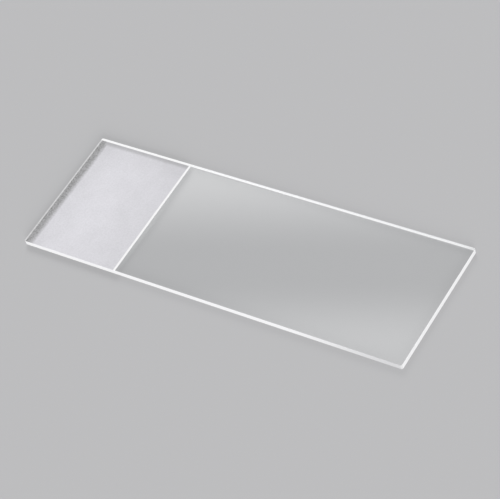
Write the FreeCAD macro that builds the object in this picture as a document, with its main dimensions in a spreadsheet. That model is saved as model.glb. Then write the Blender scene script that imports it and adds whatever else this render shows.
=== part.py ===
"""Microscope slide: one plate of soda-lime glass with ground edges and a frosted writing panel.

Frame: the origin is the middle of the underside. +X runs along the slide, away from the frosted
end, +Y across it, and +Z up through its thickness. Sizes are in millimetres.

The plate is made in the order that the factory works in. It is cut to its outline, its edges are
ground square to the faces, the four corners and then all the sharp rims are seamed, and last the
panel is etched into one end of the upper face.
"""

import FreeCAD, Part
import os

import Sketcher

# The driving dimensions: alias, value and what it measures.
DIMENSIONS = [
    ("slide_length", 75.0, "overall length, along X"),
    ("slide_width", 25.0, "overall width, along Y"),
    ("slide_thickness", 1.0, "thickness of the sheet, along Z"),
    ("corner_seam", 0.2, "leg of the small flat that takes the point off each upright corner"),
    ("rim_seam", 0.12, "leg of the 45 degree seam round the upper and the lower rim"),
    ("panel_length", 19.5, "frosted panel, from the slide's end to the panel's inner margin"),
    ("panel_depth", 0.02, "how far the etching lowers the panel below the polished face"),
    ("panel_shoulder", 0.3, "length of the slope at the inner margin, back up to the polished face"),
    ("cutter_overrun", 2.0, "how far a cutting profile runs past the glass, so that it cuts clean"),
]

NODE = "glass_slide"
# Two lengths closer than this are the same one.
SAME = 1e-6


def add_dimensions(doc):
    """The sheet of driving dimensions, one to a row: what it measures, its value and its alias."""
    sheet = doc.addObject("Spreadsheet::Sheet", "Sizes")
    for row, (alias, value, meaning) in enumerate(DIMENSIONS, start=1):
        sheet.set(f"A{row}", meaning)
        sheet.set(f"B{row}", str(value))
        sheet.setAlias(f"B{row}", alias)
    doc.recompute()
    return sheet


def origin_plane(body, role):
    """One of the body's own origin planes, such as XY_Plane."""
    return next(plane for plane in body.Origin.OriginFeatures if plane.Role == role)


def add_sketch(body, name, role):
    """An empty sketch on one of the body's origin planes."""
    sketch = body.newObject("Sketcher::SketchObject", name)
    sketch.AttachmentSupport = [(origin_plane(body, role), "")]
    sketch.MapMode = "FlatFace"
    return sketch


def add_polygon(sketch, corners):
    """Draws a closed outline through the corners and joins each line to the next."""
    points = [FreeCAD.Vector(x, y, 0) for x, y in corners]
    following = points[1:] + points[:1]
    sketch.addGeometry([Part.LineSegment(a, b) for a, b in zip(points, following)], False)
    for line in range(len(points)):
        next_line = (line + 1) % len(points)
        sketch.addConstraint(Sketcher.Constraint("Coincident", line, 2, next_line, 1))


def bind(sketch, kind, places, name, formula):
    """Adds a named dimension between places of the sketch and binds it to the sheet."""
    index = sketch.addConstraint(Sketcher.Constraint(kind, *places, 1.0))
    sketch.renameConstraint(index, name)
    sketch.setExpression(f"Constraints.{name}", formula)


def add_plate(body, sheet):
    """The plate as cut and edge-ground: a rectangle about the origin, padded up from the underside."""
    outline = add_sketch(body, "Outline", "XY_Plane")
    half_length = sheet.slide_length / 2
    half_width = sheet.slide_width / 2
    corners = [
        (-half_length, -half_width),
        (half_length, -half_width),
        (half_length, half_width),
        (-half_length, half_width),
    ]
    add_polygon(outline, corners)
    for line, direction in enumerate(("Horizontal", "Vertical", "Horizontal", "Vertical")):
        outline.addConstraint(Sketcher.Constraint(direction, line))
    # Opposite corners mirror each other about the sketch's origin, point 1 of its geometry -1.
    outline.addConstraint(Sketcher.Constraint("Symmetric", 0, 1, 2, 1, -1, 1))
    bind(outline, "DistanceX", (0, 1, 0, 2), "length", "Sizes.slide_length")
    bind(outline, "DistanceY", (1, 1, 1, 2), "width", "Sizes.slide_width")

    plate = body.newObject("PartDesign::Pad", "Plate")
    plate.Profile = outline
    plate.setExpression("Length", "Sizes.slide_thickness")
    return plate


def names_of_edges(shape, wanted):
    """The names of the shape's edges that the test accepts."""
    return [f"Edge{number}" for number, edge in enumerate(shape.Edges, start=1) if wanted(edge)]


def is_upright(edge):
    """Whether an edge runs straight up the glass, as its corners do."""
    return edge.BoundBox.XLength < SAME and edge.BoundBox.YLength < SAME


def is_level(edge):
    """Whether an edge lies flat, as every stretch of the upper and the lower rim does."""
    return edge.BoundBox.ZLength < SAME


def add_seam(body, name, base, wanted, formula):
    """Seams the wanted edges of the base feature with a 45 degree flat of one leg all along."""
    seam = body.newObject("PartDesign::Chamfer", name)
    seam.Base = (base, names_of_edges(base.Shape, wanted))
    seam.setExpression("Size", formula)
    return seam


def add_frosted_panel(body, sheet):
    """Etches the panel: its side view, a shallow step with a sloped inner end, cut across the width.

    The profile lies in the upright plane along the slide. Its floor is panel_depth under the upper
    face, and its inner end climbs to that face over panel_shoulder. The rest runs out past the glass.
    """
    profile = add_sketch(body, "PanelProfile", "XZ_Plane")
    outer = -sheet.slide_length / 2 - sheet.cutter_overrun
    margin = -sheet.slide_length / 2 + sheet.panel_length
    floor = sheet.slide_thickness - sheet.panel_depth
    above = sheet.slide_thickness + sheet.cutter_overrun
    corners = [
        (outer, floor),
        (margin - sheet.panel_shoulder, floor),
        (margin, sheet.slide_thickness),
        (margin, above),
        (outer, above),
    ]
    add_polygon(profile, corners)
    for line, direction in ((0, "Horizontal"), (2, "Vertical"), (3, "Horizontal"), (4, "Vertical")):
        profile.addConstraint(Sketcher.Constraint(direction, line))
    # Places are measured from the sketch's origin, point 1 of its geometry -1.
    origin = (-1, 1)
    bind(profile, "DistanceX", (0, 1, *origin), "outer", "Sizes.slide_length / 2 + Sizes.cutter_overrun")
    bind(profile, "DistanceX", (2, 1, *origin), "margin", "Sizes.slide_length / 2 - Sizes.panel_length")
    bind(profile, "DistanceX", (1, 1, 1, 2), "shoulder", "Sizes.panel_shoulder")
    bind(profile, "DistanceY", (*origin, 0, 1), "floor", "Sizes.slide_thickness - Sizes.panel_depth")
    bind(profile, "DistanceY", (1, 1, 1, 2), "depth", "Sizes.panel_depth")
    bind(profile, "DistanceY", (*origin, 3, 1), "above", "Sizes.slide_thickness + Sizes.cutter_overrun")

    panel = body.newObject("PartDesign::Pocket", "FrostedPanel")
    panel.Profile = profile
    panel.SideType = "Symmetric"
    panel.setExpression("Length", "Sizes.slide_width + 2 * Sizes.cutter_overrun")
    return panel


def add_slide(doc, sheet):
    """The whole slide as one body: plate, corner seams, rim seams and frosted panel."""
    body = doc.addObject("PartDesign::Body", "GlassSlide")
    body.Label = NODE
    body.Placement = FreeCAD.Placement()
    plate = add_plate(body, sheet)
    doc.recompute()
    corners = add_seam(body, "CornerSeams", plate, is_upright, "Sizes.corner_seam")
    doc.recompute()
    rims = add_seam(body, "RimSeams", corners, is_level, "Sizes.rim_seam")
    doc.recompute()
    seamed_volume = rims.Shape.Volume
    panel = add_frosted_panel(body, sheet)
    doc.recompute()
    if not panel.Shape.Volume < seamed_volume:
        raise RuntimeError("the frosted panel's cut took no glass away")
    return body


def check(doc, sub_parts):
    """Stops the build if any object failed or any sub-part is not one sound solid."""
    for item in doc.Objects:
        if {"Invalid", "Error"} & set(item.State):
            raise RuntimeError(f"{item.Name} failed: {item.State}")
    for sub_part in sub_parts:
        shape = sub_part.Shape
        if shape.isNull() or not shape.isValid() or len(shape.Solids) != 1:
            raise RuntimeError(f"{sub_part.Label} is not one sound solid")


doc = FreeCAD.newDocument("MicroscopeSlide")
sizes = add_dimensions(doc)
slide = add_slide(doc, sizes)
check(doc, [slide])

os.makedirs("parts", exist_ok=True)
slide.Shape.exportStep(f"parts/{slide.Label}.step")
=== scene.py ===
"""A glass microscope slide with ground edges and a frosted writing panel, lying on a plain pale table.

Blender works in metres. The sizes below are in millimetres, and MM turns them into metres.
"""

import math

import bpy
import numpy as np
from mathutils import Matrix, Vector


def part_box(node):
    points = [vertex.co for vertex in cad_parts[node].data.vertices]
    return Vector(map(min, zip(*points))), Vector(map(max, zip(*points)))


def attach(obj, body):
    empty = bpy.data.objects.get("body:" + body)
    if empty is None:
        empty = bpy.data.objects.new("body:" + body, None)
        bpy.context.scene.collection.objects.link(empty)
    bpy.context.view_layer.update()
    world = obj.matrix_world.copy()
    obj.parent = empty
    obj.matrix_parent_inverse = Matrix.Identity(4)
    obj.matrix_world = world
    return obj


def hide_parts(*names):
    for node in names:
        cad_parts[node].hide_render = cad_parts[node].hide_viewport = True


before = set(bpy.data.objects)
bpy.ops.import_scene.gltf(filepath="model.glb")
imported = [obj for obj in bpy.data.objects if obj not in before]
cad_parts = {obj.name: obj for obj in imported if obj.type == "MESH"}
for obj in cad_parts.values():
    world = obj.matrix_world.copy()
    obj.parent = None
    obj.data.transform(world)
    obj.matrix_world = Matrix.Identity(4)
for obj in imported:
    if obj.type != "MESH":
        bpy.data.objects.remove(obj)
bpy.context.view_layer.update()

# ---------------------------------------------------------------------------------------------------
# The slide. One plate of drawn soda-lime glass with its edges ground square, its corners dubbed and
# its rims seamed, the upper ones only lightly. Fine grit has frosted one end of the upper face,
# which lies a little lower there and slopes back up at the panel's inner margin.

MM = 0.001
slide_low, slide_high = (np.array(corner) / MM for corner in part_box("glass_slide"))
HALF_LENGTH, HALF_WIDTH = (slide_high - slide_low)[:2] / 2
THICKNESS = slide_high[2]
CORNER_RADIUS = 0.3
UPPER_SEAM = 0.03
LOWER_SEAM = 0.12
PANEL_LENGTH = 19.5
PANEL_DEPTH = 0.02
PANEL_SHOULDER = 0.3
PANEL_MARGIN = -HALF_LENGTH + PANEL_LENGTH

# Cells along each stretch of the grid: the corner's arc, the panel, its shoulder, the clear part.
ARC_CELLS = 4
PANEL_CELLS = 13
SHOULDER_CELLS = 2
CLEAR_CELLS = 37
WIDTH_CELLS = 16
EDGE_CELLS = 4
# Faces that meet at more than this angle, in degrees, meet in a crisp line.
CRISP_ANGLE = 30.0

# The slide's material slots, in this order.
POLISHED, GROUND, FROSTED = range(3)


def stations(places, cells):
    """Stations along an axis: each stretch between two places is cut into its number of even cells."""
    stretches = [np.linspace(a, b, n, endpoint=False) for a, b, n in zip(places, places[1:], cells)]
    return np.concatenate([*stretches, places[-1:]])


def panel_drop(x):
    """The face's depth below the polished one at x: the panel's, falling to 0 up its shoulder."""
    return PANEL_DEPTH * np.clip((PANEL_MARGIN - x) / PANEL_SHOULDER, 0, 1)


def plate_points(x, y, z, reach):
    """Points of the plate at the stations x and y, at height z, with its corners rounded.

    The core is the rectangle between the corners' centres, and a station inside it stays where it
    is. Outside it, the station's shares a and b of the corner radius are turned from a square into
    a disc, a * sqrt(1 - b * b / 2) and b * sqrt(1 - a * a / 2), and laid off from the core times reach.
    """
    core_x = np.clip(x, CORNER_RADIUS - HALF_LENGTH, HALF_LENGTH - CORNER_RADIUS)
    core_y = np.clip(y, CORNER_RADIUS - HALF_WIDTH, HALF_WIDTH - CORNER_RADIUS)
    a = (x - core_x) / CORNER_RADIUS
    b = (y - core_y) / CORNER_RADIUS
    round_x = core_x + reach * a * np.sqrt(1 - b * b / 2)
    round_y = core_y + reach * b * np.sqrt(1 - a * a / 2)
    return np.stack([round_x, round_y, np.broadcast_to(z, x.shape)], axis=-1).reshape(-1, 3)


def slide_skin():
    """The slide's closed skin: its points, its four-sided faces and each face's material slot.

    The upper and the lower face are the same grid of stations. Round its border runs a band of
    loops: the upper rim, the edge's rows, drawn out to the full corner radius, and the lower rim.
    """
    inner_x = HALF_LENGTH - CORNER_RADIUS
    inner_y = HALF_WIDTH - CORNER_RADIUS
    shoulder_foot = PANEL_MARGIN - PANEL_SHOULDER
    x_places = [-HALF_LENGTH, -inner_x, shoulder_foot, PANEL_MARGIN, inner_x, HALF_LENGTH]
    y_places = [-HALF_WIDTH, -inner_y, inner_y, HALF_WIDTH]
    xs = stations(x_places, [ARC_CELLS, PANEL_CELLS, SHOULDER_CELLS, CLEAR_CELLS, ARC_CELLS])
    ys = stations(y_places, [ARC_CELLS, WIDTH_CELLS, ARC_CELLS])
    x, y = np.meshgrid(xs, ys, indexing="ij")
    drop = panel_drop(x)
    upper = plate_points(x, y, THICKNESS - drop, CORNER_RADIUS - UPPER_SEAM + drop)
    lower = plate_points(x, y, 0.0, CORNER_RADIUS - LOWER_SEAM)

    grid = np.arange(x.size).reshape(x.shape)
    border = np.concatenate([grid[:-1, 0], grid[-1, :-1], grid[:0:-1, -1], grid[0, :0:-1]])
    rows = np.linspace(THICKNESS - UPPER_SEAM, LOWER_SEAM, EDGE_CELLS + 1)
    edge = [plate_points(x.flat[border], y.flat[border], row, CORNER_RADIUS) for row in rows]
    points = np.concatenate([upper, lower, *edge])

    first_edge = 2 * x.size + np.arange(len(rows))[:, None] * border.size
    loops = np.vstack([border, first_edge + np.arange(border.size), border + x.size])
    following = np.roll(loops, -1, axis=1)
    band = np.stack([loops[:-1], loops[1:], following[1:], following[:-1]], axis=-1).reshape(-1, 4)
    corners = [grid[:-1, :-1], grid[1:, :-1], grid[1:, 1:], grid[:-1, 1:]]
    face_up = np.stack(corners, axis=-1).reshape(-1, 4)
    face_down = face_up[:, ::-1] + x.size

    faces = np.concatenate([face_up, face_down, band])
    slots = np.full(len(faces), POLISHED)
    slots[: len(face_up)][x.flat[face_up].mean(axis=1) < PANEL_MARGIN] = FROSTED
    slots[-len(band) :] = GROUND
    return points, faces, slots


points, faces, slots = slide_skin()
slide_mesh = bpy.data.meshes.new("glass_slide_skin")
slide_mesh.from_pydata((points * MM).tolist(), [], faces.tolist())
slide_mesh.polygons.foreach_set("material_index", slots.astype(np.int32))
slide_mesh.polygons.foreach_set("use_smooth", np.ones(len(faces), bool))
slide_mesh.set_sharp_from_angle(angle=math.radians(CRISP_ANGLE))
slide_mesh.validate()
slide = bpy.data.objects.new("glass_slide_skin", slide_mesh)
bpy.context.scene.collection.objects.link(slide)


def srgb(colour):
    """Linear RGBA of an sRGB hex colour: c / 12.92 for the darkest, else ((c + 0.055) / 1.055) ^ 2.4."""
    channels = np.array([int(colour[place : place + 2], 16) for place in (0, 2, 4)]) / 255
    curve = ((channels + 0.055) / 1.055) ** 2.4
    return (*np.where(channels <= 0.04045, channels / 12.92, curve).tolist(), 1.0)


def add_node(tree, kind, inputs, **settings):
    """Adds a shader node with its settings. Each input takes a value or another node's output."""
    node = tree.nodes.new("ShaderNode" + kind)
    for name, value in settings.items():
        setattr(node, name, value)
    for name, value in inputs.items():
        if isinstance(value, bpy.types.NodeSocket):
            tree.links.new(value, node.inputs[name])
        else:
            node.inputs[name].default_value = value
    return node


def new_material(name):
    """An empty node material and its tree."""
    material = bpy.data.materials.new(name)
    material.use_nodes = True
    material.node_tree.nodes.clear()
    return material, material.node_tree


def light_through(tree, surface, passes):
    """Ends a material: its surface for every ray, but a lamp's light goes on unbent, times passes."""
    rays = add_node(tree, "LightPath", {}).outputs
    unbent = add_node(tree, "BsdfTransparent", {"Color": passes}).outputs["BSDF"]
    skin = {0: rays["Is Shadow Ray"], 1: surface.outputs["BSDF"], 2: unbent}
    add_node(tree, "OutputMaterial", {"Surface": add_node(tree, "MixShader", skin).outputs["Shader"]})


# Polished soda-lime glass, as drawn: clear and colourless, with sharp reflections and no haze. Lamps
# shine straight through it, less what its face mirrors.
GLASS_IOR = 1.52
GLASS_TINT = srgb("FDFEFE")
POLISHED_PASSES = srgb("FDFDFD")

polished, tree = new_material("soda_lime_glass_polished")
surface = add_node(
    tree,
    "BsdfPrincipled",
    {"Base Color": GLASS_TINT, "Roughness": 0.0, "IOR": GLASS_IOR, "Transmission Weight": 1.0},
)
light_through(tree, surface, POLISHED_PASSES)

# Fine-ground glass edge: the wheel leaves a white, silky matt face with faint marks along the edge,
# and most of the light that falls on it goes on through the glass. Towards the clear end the near
# edge's colour is painted grey, a painted shade for the light that falls off there. The marks are
# 0.04 mm apart on the glass and are drawn 0.16 mm apart, so that they show.
GROUND_PALE = srgb("FEFEFE")
GROUND_DULL = srgb("F7F7F8")
GROUND_PAINTED_SHADE = srgb("DADADB")
GROUND_PASSES = srgb("DEDEDE")
GROUND_ROUGHNESS = 0.5
MARK_PITCH = 0.16
MARK_LENGTH = 4.0
MARK_DEPTH = 0.004
# The painted shade begins here along the slide, and fades in over this stretch beside the
# near edge.
PAINTED_SHADE_BEGINS = 14.0
PAINTED_SHADE_SIDE = (0.3 - HALF_WIDTH, 0.15 - HALF_WIDTH)

ground, tree = new_material("soda_lime_glass_fine_ground")
place = add_node(tree, "TexCoord", {}).outputs["Object"]
axes = add_node(tree, "SeparateXYZ", {"Vector": place}).outputs
mark_scale = (1 / MARK_LENGTH / MM, 1 / MARK_LENGTH / MM, 1 / MARK_PITCH / MM)
along_edge = add_node(tree, "Mapping", {"Vector": place, "Scale": mark_scale}).outputs["Vector"]
marks = add_node(tree, "TexNoise", {"Vector": along_edge, "Scale": 1.0, "Detail": 3.0}).outputs["Fac"]
# Painted shade: the near edge's colour turns grey towards the clear end.
span = {"Value": axes["Y"], "From Min": PAINTED_SHADE_SIDE[0] * MM, "From Max": PAINTED_SHADE_SIDE[1] * MM}
near_edge = add_node(tree, "MapRange", span).outputs["Result"]
span = {"Value": axes["X"], "From Min": PAINTED_SHADE_BEGINS * MM, "From Max": HALF_LENGTH * MM, "To Max": 1.0}
near_edge_painted_shade = add_node(tree, "MapRange", span, interpolation_type="SMOOTHSTEP").outputs["Result"]
near_edge_painted_shade = add_node(tree, "Math", {0: near_edge, 1: near_edge_painted_shade}, operation="MULTIPLY").outputs["Value"]
pale = add_node(tree, "Mix", {0: marks, 6: GROUND_DULL, 7: GROUND_PALE}, data_type="RGBA").outputs[2]
marks_and_painted_shade = add_node(tree, "Mix", {0: near_edge_painted_shade, 6: pale, 7: GROUND_PAINTED_SHADE}, data_type="RGBA").outputs[2]
grooves = add_node(tree, "Bump", {"Height": marks, "Distance": MARK_DEPTH * MM, "Strength": 1.0})
surface = add_node(
    tree,
    "BsdfPrincipled",
    {
        "Base Color": marks_and_painted_shade,
        "Roughness": GROUND_ROUGHNESS,
        "IOR": GLASS_IOR,
        "Normal": grooves.outputs["Normal"],
    },
)
light_through(tree, surface, GROUND_PASSES)

# Grit-frosted glass: an even, chalky grey-white with a fine grain, made to take a pencil. Light
# reaches the frost through the glass, and its colour paints that light in: painted shade where
# the far end and the far edge cut that light off, a rough grey band of painted shade along the
# far end, and painted white highlights along the outer end, the far rim and up the shoulder. The
# grit leaves pits of 0.05 mm, which are drawn 0.3 mm across, so that they show. Where it is lit
# the frost is a faintly violet white, and where its painted shade dulls it a plain grey.
FROST_PALE = srgb("E6E5EA")
FROST_DARK = srgb("242800")
FROST_HIGHLIGHT_WHITE = srgb("FDFDFD")
FROST_PASSES = srgb("BCBCBC")
FROST_ROUGHNESS = (0.7, 0.9)
PIT_WIDTH = 0.3
PIT_DEPTH = 0.025
PIT_SHADE = 0.90
MOTTLE_WIDTH = 3.0
MOTTLE_SHADE = 0.94
# The stretch of a noise, which seldom goes beyond it, that takes its shade from darkest to none.
NOISE_SPAN = (0.25, 0.75)
# Each fade of painted shade: its axis, the place where it is darkest, the place where it ends, and
# what it leaves.
PAINTED_SHADE_FADES = [
    ("X", PANEL_MARGIN, PANEL_MARGIN - 12.0, 0.93),
    ("X", 2.0 - HALF_LENGTH, 7.0 - HALF_LENGTH, 0.95),
    ("Y", HALF_WIDTH - 0.75, HALF_WIDTH - 1.55, 0.72),
    ("Y", HALF_WIDTH - 1.2, HALF_WIDTH - 6.0, 0.94),
]
# The grey band of painted shade along the outer end: where it is full, where it has ended, and
# its uneven shades.
SHADE_BAND_FULL, SHADE_BAND_END = 0.9 - HALF_LENGTH, 2.6 - HALF_LENGTH
SHADE_BAND_SHADES = (0.245, 0.585)
# Each painted white highlight line: its axis, where it begins to fade in, where it is full, and
# how white it is.
PAINTED_HIGHLIGHTS = [
    ("X", 0.36 - HALF_LENGTH, 0.22 - HALF_LENGTH, 0.5),
    ("X", PANEL_MARGIN - PANEL_SHOULDER - 0.2, PANEL_MARGIN - PANEL_SHOULDER - 0.05, 1.0),
    ("Y", HALF_WIDTH - 0.52, HALF_WIDTH - 0.40, 1.0),
]

frosted, tree = new_material("soda_lime_glass_grit_frosted")
place = add_node(tree, "TexCoord", {}).outputs["Object"]
axes = add_node(tree, "SeparateXYZ", {"Vector": place}).outputs
pattern = {"Vector": place, "Scale": 1 / PIT_WIDTH / MM, "Detail": 2.0}
pits = add_node(tree, "TexNoise", pattern).outputs["Fac"]
pattern = {"Vector": place, "Scale": 1 / MOTTLE_WIDTH / MM, "Detail": 3.0}
mottle = add_node(tree, "TexNoise", pattern).outputs["Fac"]
grain_and_painted_shade = 1.0
for noise, least in ((pits, PIT_SHADE), (mottle, MOTTLE_SHADE)):
    span = {"Value": noise, "From Min": NOISE_SPAN[0], "From Max": NOISE_SPAN[1], "To Min": least}
    share = add_node(tree, "MapRange", span).outputs["Result"]
    grain_and_painted_shade = add_node(tree, "Math", {0: grain_and_painted_shade, 1: share}, operation="MULTIPLY").outputs["Value"]
# Painted shade: the fades darken the frost's colour where less light reaches it.
for axis, darkest, end, left in PAINTED_SHADE_FADES:
    span = {"Value": axes[axis], "From Min": darkest * MM, "From Max": end * MM, "To Min": left}
    share = add_node(tree, "MapRange", span, interpolation_type="SMOOTHSTEP").outputs["Result"]
    grain_and_painted_shade = add_node(tree, "Math", {0: grain_and_painted_shade, 1: share}, operation="MULTIPLY").outputs["Value"]
# Painted shade: the grey band along the outer end, made uneven by the grain.
span = {"Value": pits, "From Min": NOISE_SPAN[0], "From Max": NOISE_SPAN[1]}
span["To Min"], span["To Max"] = SHADE_BAND_SHADES
uneven = add_node(tree, "MapRange", span).outputs["Result"]
span = {"Value": axes["X"], "From Min": SHADE_BAND_FULL * MM, "From Max": SHADE_BAND_END * MM, "To Min": uneven}
band = add_node(tree, "MapRange", span, interpolation_type="SMOOTHSTEP").outputs["Result"]
grain_and_painted_shade = add_node(tree, "Math", {0: grain_and_painted_shade, 1: band}, operation="MINIMUM").outputs["Value"]
chalk_and_painted_light = add_node(tree, "Mix", {0: grain_and_painted_shade, 6: FROST_DARK, 7: FROST_PALE}, data_type="RGBA").outputs[2]
# Painted highlights: white lines along the outer end, the far rim and up the shoulder.
for axis, begins, full, white in PAINTED_HIGHLIGHTS:
    span = {"Value": axes[axis], "From Min": begins * MM, "From Max": full * MM, "To Max": white}
    line = add_node(tree, "MapRange", span).outputs["Result"]
    chalk_and_painted_light = add_node(tree, "Mix", {0: line, 6: chalk_and_painted_light, 7: FROST_HIGHLIGHT_WHITE}, data_type="RGBA").outputs[2]
span = {"Value": pits, "To Min": FROST_ROUGHNESS[0], "To Max": FROST_ROUGHNESS[1]}
roughness = add_node(tree, "MapRange", span).outputs["Result"]
pitted = add_node(tree, "Bump", {"Height": pits, "Distance": PIT_DEPTH * MM}).outputs["Normal"]
surface = add_node(
    tree,
    "BsdfPrincipled",
    {"Base Color": chalk_and_painted_light, "Roughness": roughness, "IOR": GLASS_IOR, "Normal": pitted},
)
light_through(tree, surface, FROST_PASSES)

for material in (polished, ground, frosted):
    slide_mesh.materials.append(material)

# The table's own rays pass the slide by, because the lamps already light the table through it.
slide.visible_diffuse = False

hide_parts("glass_slide")
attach(slide, "root")

# ---------------------------------------------------------------------------------------------------
# The table. A plain pale grey board, matt, that the slide lies flat on. The air under the slide is
# a hair's breadth, as it is under a real one.

TABLE_GREY = srgb("BEBEBF")
TABLE_REACH = 3500.0
AIR_GAP = 0.05

table_corners = np.array([(-1, -1, 0), (1, -1, 0), (1, 1, 0), (-1, 1, 0)]) * TABLE_REACH
table_mesh = bpy.data.meshes.new("table_board")
table_mesh.from_pydata(((table_corners - (0, 0, AIR_GAP)) * MM).tolist(), [], [(0, 1, 2, 3)])
table = bpy.data.objects.new("table_board", table_mesh)
bpy.context.scene.collection.objects.link(table)
table_board, tree = new_material("matt_pale_board")
surface = add_node(tree, "BsdfDiffuse", {"Color": TABLE_GREY})
add_node(tree, "OutputMaterial", {"Surface": surface.outputs["BSDF"]})
table_mesh.materials.append(table_board)

# ---------------------------------------------------------------------------------------------------
# The light. A pale room all round, the same grey as the table, one large softbox low on the near
# right and a weaker one behind on the far left. Together they light a level face so that its colour
# shows as it is written. Mirror-like faces also see soft lit panels that stand round the room.

PANELS = 12
PANEL_GLOW = 1.4
PANEL_SWING = 0.8
# The panels begin, are full, fade and have ended at these heights, each the sine of an elevation.
PANEL_HEIGHTS = (0.05, 0.5, 0.8, 0.97)
SOFTBOX_SPREAD = 30.0
# Each softbox: its name, azimuth, elevation and strength.
SOFTBOXES = [("key_softbox", 42.0, 18.0, 2.25), ("rim_softbox", 215.0, 34.0, 1.42)]

room = bpy.data.worlds.new("pale_room")
room.use_nodes = True
tree = room.node_tree
tree.nodes.clear()
direction = add_node(tree, "TexCoord", {}).outputs["Generated"]
axes = add_node(tree, "SeparateXYZ", {"Vector": direction}).outputs
turn = add_node(tree, "Math", {0: axes["Y"], 1: axes["X"]}, operation="ARCTAN2").outputs["Value"]
turn = add_node(tree, "Math", {0: turn, 1: PANELS}, operation="MULTIPLY").outputs["Value"]
wave = add_node(tree, "Math", {0: turn}, operation="SINE").outputs["Value"]
# The glow swings round the room as a sine, one swing to a panel, and the swing ends below the top.
begin, full, fading, end = PANEL_HEIGHTS
span = {"Value": axes["Z"], "From Min": end, "From Max": fading, "To Max": PANEL_SWING * PANEL_GLOW}
swing = add_node(tree, "MapRange", span, interpolation_type="SMOOTHSTEP").outputs["Result"]
swung = {0: wave, 1: swing, 2: PANEL_GLOW}
glow = add_node(tree, "Math", swung, operation="MULTIPLY_ADD").outputs["Value"]
span = {"Value": axes["Z"], "From Min": begin, "From Max": full}
rise = add_node(tree, "MapRange", span, interpolation_type="SMOOTHSTEP").outputs["Result"]
mirrored = add_node(tree, "Mix", {0: rise, 2: 1.0, 3: glow}).outputs[0]
rays = add_node(tree, "LightPath", {}).outputs
plain_rays = {0: rays["Is Camera Ray"], 1: rays["Is Diffuse Ray"]}
plain = add_node(tree, "Math", plain_rays, operation="ADD").outputs["Value"]
strength = add_node(tree, "Mix", {0: plain, 2: mirrored, 3: 1.0}).outputs[0]
walls = add_node(tree, "Background", {"Color": TABLE_GREY, "Strength": strength})
add_node(tree, "OutputWorld", {"Surface": walls.outputs["Background"]})
# Rays find the room by themselves, and the softboxes only as lamps: that keeps specks off the glass.
room.cycles.sampling_method = "NONE"
bpy.context.scene.world = room


def turned(azimuth, elevation, roll=0.0):
    """A turn that looks down at the origin: azimuth 0 looks along +Y from the -Y side, in degrees."""
    level = Matrix.Rotation(math.radians(azimuth), 4, "Z")
    tilt = Matrix.Rotation(math.radians(90 - elevation), 4, "X")
    return level @ tilt @ Matrix.Rotation(math.radians(roll), 4, "Z")


for name, azimuth, elevation, strength in SOFTBOXES:
    softbox = bpy.data.lights.new(name, "SUN")
    softbox.angle = math.radians(SOFTBOX_SPREAD)
    softbox.energy = strength
    softbox.cycles.use_multiple_importance_sampling = False
    lamp = bpy.data.objects.new(name, softbox)
    lamp.matrix_world = turned(azimuth, elevation)
    lamp.visible_glossy = False
    bpy.context.scene.collection.objects.link(lamp)

# ---------------------------------------------------------------------------------------------------
# The camera. A long lens from the front right, about 360 mm off and 47 degrees up, rolled so that
# the slide lies across the view from corner to corner.

CAMERA_AZIMUTH = 46.9
CAMERA_ELEVATION = 47.28
CAMERA_ROLL = -20.69
CAMERA_DISTANCE = 356.4
CAMERA_ASIDE = 1.12
CAMERA_DOWN = 0.23
LENS = 154.58
SENSOR = 36.0

view = bpy.data.cameras.new("camera")
view.lens = LENS
view.sensor_width = SENSOR
camera = bpy.data.objects.new("camera", view)
camera.matrix_world = turned(CAMERA_AZIMUTH, CAMERA_ELEVATION, CAMERA_ROLL) @ Matrix.Translation(
    (CAMERA_ASIDE * MM, -CAMERA_DOWN * MM, CAMERA_DISTANCE * MM)
)
bpy.context.scene.collection.objects.link(camera)
bpy.context.scene.camera = camera

# ---------------------------------------------------------------------------------------------------
# The reflector. A board that only mirror-like faces show, hung where the polished glass mirrors it
# to the camera: a white top and a dimmer foot, each fading into a black band across the middle. All
# round it fades into the room.

REFLECTOR_DISTANCE = 1100.0
REFLECTOR_SIZE = 600.0
TOP_GLOW = 1.8
BAND_GLOW = 0.1
FOOT_GLOW = 1.3
TOP_FADE = (-2.0, 40.0)
FOOT_FADE = (-15.0, -48.0)
BORDER_FADE = 170.0

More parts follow.
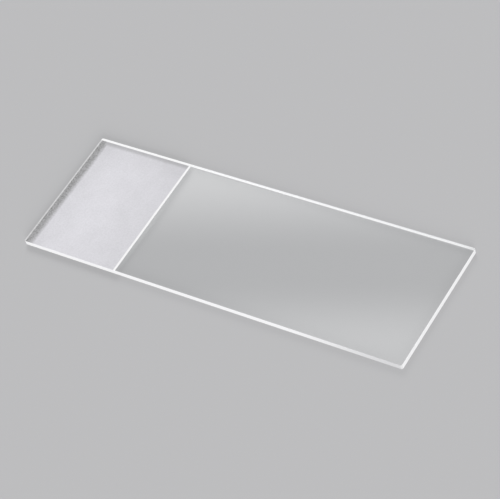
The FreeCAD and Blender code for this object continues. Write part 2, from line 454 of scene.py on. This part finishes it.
# The camera as the upper face mirrors it. The reflector hangs square across its view.
mirror = Matrix.Translation((0, 0, 2 * THICKNESS * MM)) @ Matrix.Scale(-1, 4, (0, 0, 1))
seen = mirror @ camera.matrix_world
middle = seen @ Vector((0, 0, -REFLECTOR_DISTANCE * MM))
right = (seen.to_3x3() @ Vector((1, 0, 0))).normalized()
up = (seen.to_3x3() @ Vector((0, 1, 0))).normalized()
half = REFLECTOR_SIZE / 2 * MM
reflector_corners = [(-half, -half, 0), (half, -half, 0), (half, half, 0), (-half, half, 0)]
reflector_mesh = bpy.data.meshes.new("reflector")
reflector_mesh.from_pydata(reflector_corners, [], [(0, 1, 2, 3)])
reflector = bpy.data.objects.new("reflector", reflector_mesh)
facing = Matrix((right, up, right.cross(up))).transposed().to_4x4()
reflector.matrix_world = Matrix.Translation(middle) @ facing
bpy.context.scene.collection.objects.link(reflector)
reflector.visible_camera = False
reflector.visible_diffuse = False
reflector.visible_shadow = False

reflector_board, tree = new_material("reflector_board")
place = add_node(tree, "TexCoord", {}).outputs["Object"]
axes = add_node(tree, "SeparateXYZ", {"Vector": place}).outputs
glow = BAND_GLOW
for (begins, full), brightest in ((TOP_FADE, TOP_GLOW), (FOOT_FADE, FOOT_GLOW)):
    span = {"Value": axes["Y"], "From Min": begins * MM, "From Max": full * MM}
    span["To Max"] = brightest - BAND_GLOW
    share = add_node(tree, "MapRange", span, interpolation_type="SMOOTHSTEP").outputs["Result"]
    glow = add_node(tree, "Math", {0: glow, 1: share}, operation="ADD").outputs["Value"]
cover = 1.0
for axis in "XY":
    aside = add_node(tree, "Math", {0: axes[axis]}, operation="ABSOLUTE").outputs["Value"]
    span = {"Value": aside, "From Min": half, "From Max": half - BORDER_FADE * MM}
    share = add_node(tree, "MapRange", span, interpolation_type="SMOOTHSTEP").outputs["Result"]
    cover = add_node(tree, "Math", {0: cover, 1: share}, operation="MULTIPLY").outputs["Value"]
lit = add_node(tree, "Emission", {"Strength": glow}).outputs["Emission"]
clear = add_node(tree, "BsdfTransparent", {}).outputs["BSDF"]
surface = add_node(tree, "MixShader", {0: cover, 1: clear, 2: lit})
add_node(tree, "OutputMaterial", {"Surface": surface.outputs["Shader"]})
reflector_board.cycles.emission_sampling = "NONE"
reflector_mesh.materials.append(reflector_board)

bpy.context.scene.view_settings.view_transform = "Standard"
